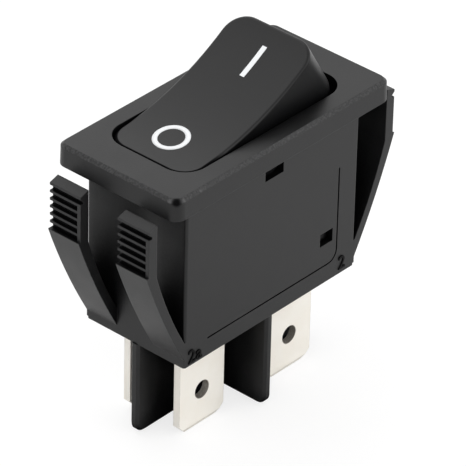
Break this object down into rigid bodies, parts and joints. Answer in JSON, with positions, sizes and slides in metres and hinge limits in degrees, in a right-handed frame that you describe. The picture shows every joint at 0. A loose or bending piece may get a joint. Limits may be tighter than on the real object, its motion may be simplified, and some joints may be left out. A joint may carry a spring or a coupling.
{
  "type": "panel-mount rocker switch",
  "caption": "Black rectangular snap-in rocker switch: a bezel with a tilting rocker, a deep body with toothed side clips, and flat quick-connect tabs between barriers below.",
  "frame": {"origin": "middle of the panel seat, the bezel's underside", "axes": "+X along the bezel towards the I end of the rocker, +Y across it towards the back pole, +Z out of the panel towards the user"},
  "size_m": [0.0356, 0.0154, 0.0372],
  "materials": {
    "black_nylon": "satin, fine grain",
    "rocker_nylon": "satin, fine grain, white marks",
    "white_acetal": "smooth",
    "spring_steel": "drawn wire",
    "copper_strip": "rolled strip",
    "silver_contact": "pressed",
    "tinned_brass": "tin plated, satin"
  },
  "bodies": {
    "housing": {"housing": "black_nylon", "terminal_base": "black_nylon", "contact_terminal_front": "tinned_brass", "fixed_contact_front": "silver_contact", "pivot_terminal_front": "tinned_brass", "contact_terminal_back": "tinned_brass", "fixed_contact_back": "silver_contact", "pivot_terminal_back": "tinned_brass"},
    "rocker": {"rocker": "rocker_nylon", "plunger_spring_front": "spring_steel", "plunger_spring_back": "spring_steel"},
    "plunger_front": {"plunger_front": "white_acetal"},
    "lever_front": {"contact_lever_front": "copper_strip", "lever_contact_front": "silver_contact"},
    "plunger_back": {"plunger_back": "white_acetal"},
    "lever_back": {"contact_lever_back": "copper_strip", "lever_contact_back": "silver_contact"}
  },
  "joints": [
    {"name": "rocker_pivot", "type": "hinge", "parent": "housing", "child": "rocker", "pos_m": [0, 0, -0.0012], "axis": [0, 1, 0], "range_deg": [0, 37]},
    {"name": "plunger_slide_front", "type": "slide", "parent": "rocker", "child": "plunger_front", "axis": [-0.3173, 0, 0.9483], "range_m": [0, 0.001], "stiffness_N_per_m": 50, "springref_m": -0.004, "deforming": ["plunger_spring_front"]},
    {"name": "lever_fulcrum_front", "type": "hinge", "parent": "housing", "child": "lever_front", "pos_m": [0, -0.00325, -0.0085], "axis": [0, 1, 0], "range_deg": [-15, 0]},
    {"name": "plunger_slide_back", "type": "slide", "parent": "rocker", "child": "plunger_back", "axis": [-0.3173, 0, 0.9483], "range_m": [0, 0.001], "stiffness_N_per_m": 50, "springref_m": -0.004, "deforming": ["plunger_spring_back"]},
    {"name": "lever_fulcrum_back", "type": "hinge", "parent": "housing", "child": "lever_back", "pos_m": [0, 0.00325, -0.0085], "axis": [0, 1, 0], "range_deg": [-15, 0]}
  ],
  "couplings": [
    {"joint": "lever_fulcrum_front", "follows": "rocker_pivot", "ratio": -0.40541},
    {"joint": "lever_fulcrum_back", "follows": "rocker_pivot", "ratio": -0.40541}
  ]
}
